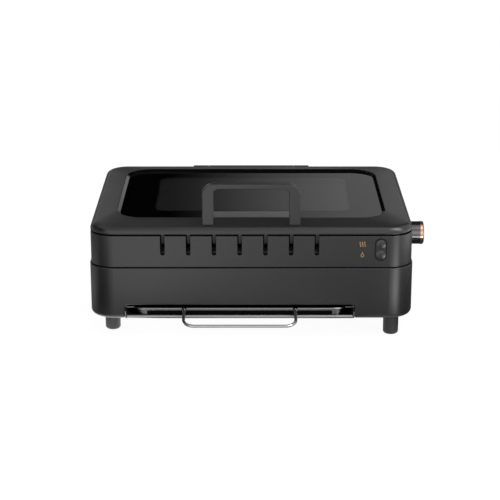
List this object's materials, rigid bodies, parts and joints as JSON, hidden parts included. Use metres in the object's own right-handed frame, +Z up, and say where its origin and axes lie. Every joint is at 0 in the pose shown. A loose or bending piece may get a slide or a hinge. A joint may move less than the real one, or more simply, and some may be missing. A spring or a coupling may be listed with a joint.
{
  "type": "indoor grill",
  "caption": "Electric indoor grill with a rear-hinged glass lid, ridged plate over a heating element, drip tray on rails under it, side thermostat knob and indicator lamps.",
  "frame": {"origin": "middle of the whole outline on the table, under the feet", "axes": "+X to the grill's right, +Y to its rear hinge, +Z up"},
  "size_m": [0.4386, 0.3644, 0.2045],
  "materials": {
    "housing_plastic": "fine satin moulded charcoal plastic",
    "lid_plastic": "satin charcoal plastic lid rim",
    "handle_plastic": "satin black plastic",
    "inner_plastic": "plain black moulded plastic",
    "lid_glass": "dark tinted tempered glass with a black border",
    "seal_rubber": "black silicone rubber",
    "foot_rubber": "black rubber",
    "tray_steel": "brushed stainless steel",
    "sheet_steel": "bright sheet steel",
    "wire_chrome": "polished chromed wire",
    "grill_coating": "cast aluminium with a black non-stick coating",
    "element_steel": "heat-tinted steel sheath",
    "hinge_metal": "black painted steel",
    "pin_steel": "turned steel",
    "screw_steel": "zinc-plated steel",
    "knob_plastic": "glossy black plastic",
    "ring_metal": "rose-gold anodised ring",
    "lamp_lens": "dark translucent lens, unlit",
    "led_plastic": "clear moulded lamp",
    "board": "green circuit board",
    "white_plastic": "white moulded plastic",
    "thermostat_metal": "plated steel case",
    "lead_rubber": "heat-proof silicone insulation"
  },
  "bodies": {
    "base": {"base_housing": "housing_plastic", "upper_housing": "housing_plastic", "compartment_cover": "inner_plastic", "mains_inlet": "inner_plastic", "indicator_bezel": "inner_plastic", "lid_bumpers": "seal_rubber", "front_left_foot": "foot_rubber", "front_right_foot": "foot_rubber", "rear_left_foot": "foot_rubber", "rear_right_foot": "foot_rubber", "bottom_plate": "sheet_steel", "left_tray_rail": "sheet_steel", "right_tray_rail": "sheet_steel", "grill_liner": "sheet_steel", "element_brackets": "sheet_steel", "grill_plate": "grill_coating", "heating_element": "element_steel", "left_hinge_bracket": "hinge_metal", "right_hinge_bracket": "hinge_metal", "hinge_pin": "pin_steel", "bottom_plate_screws": "screw_steel", "foot_screws": "screw_steel", "rail_screws": "screw_steel", "housing_screws": "screw_steel", "cover_screws": "screw_steel", "hinge_screws": "screw_steel", "thermostat_nut": "screw_steel", "heating_lamp_lens": "lamp_lens", "water_lamp_lens": "lamp_lens", "heating_led": "led_plastic", "water_led": "led_plastic", "indicator_board": "board", "terminal_block": "white_plastic", "thermal_fuse": "white_plastic", "water_sensor": "white_plastic", "thermostat": "thermostat_metal", "supply_leads": "lead_rubber", "element_leads": "lead_rubber", "control_leads": "lead_rubber"},
    "lid": {"lid_frame": "lid_plastic", "glass_gasket": "seal_rubber", "lid_glass": "lid_glass", "glass_retainer": "sheet_steel", "retainer_screws": "screw_steel", "lid_handle": "handle_plastic", "handle_screws": "screw_steel", "handle_base_pad": "handle_plastic", "lid_hinge_barrel": "hinge_metal", "barrel_screws": "screw_steel"},
    "knob": {"control_knob": "knob_plastic", "knob_ring": "ring_metal", "thermostat_shaft": "pin_steel"},
    "tray": {"drip_tray": "tray_steel", "tray_handle": "wire_chrome"}
  },
  "joints": [
    {"name": "lid_hinge", "type": "hinge", "parent": "base", "child": "lid", "pos_m": [-0.00935, 0.17625, 0.1421], "axis": [-1, 0, 0], "range_deg": [0, 95]},
    {"name": "tray_slide", "type": "slide", "parent": "base", "child": "tray", "axis": [0, -1, 0], "range_m": [0, 0.22]},
    {"name": "knob_turn", "type": "hinge", "parent": "base", "child": "knob", "pos_m": [0.20015, -0.05425, 0.1175], "axis": [1, 0, 0], "range_deg": [0, 270]}
  ]
}
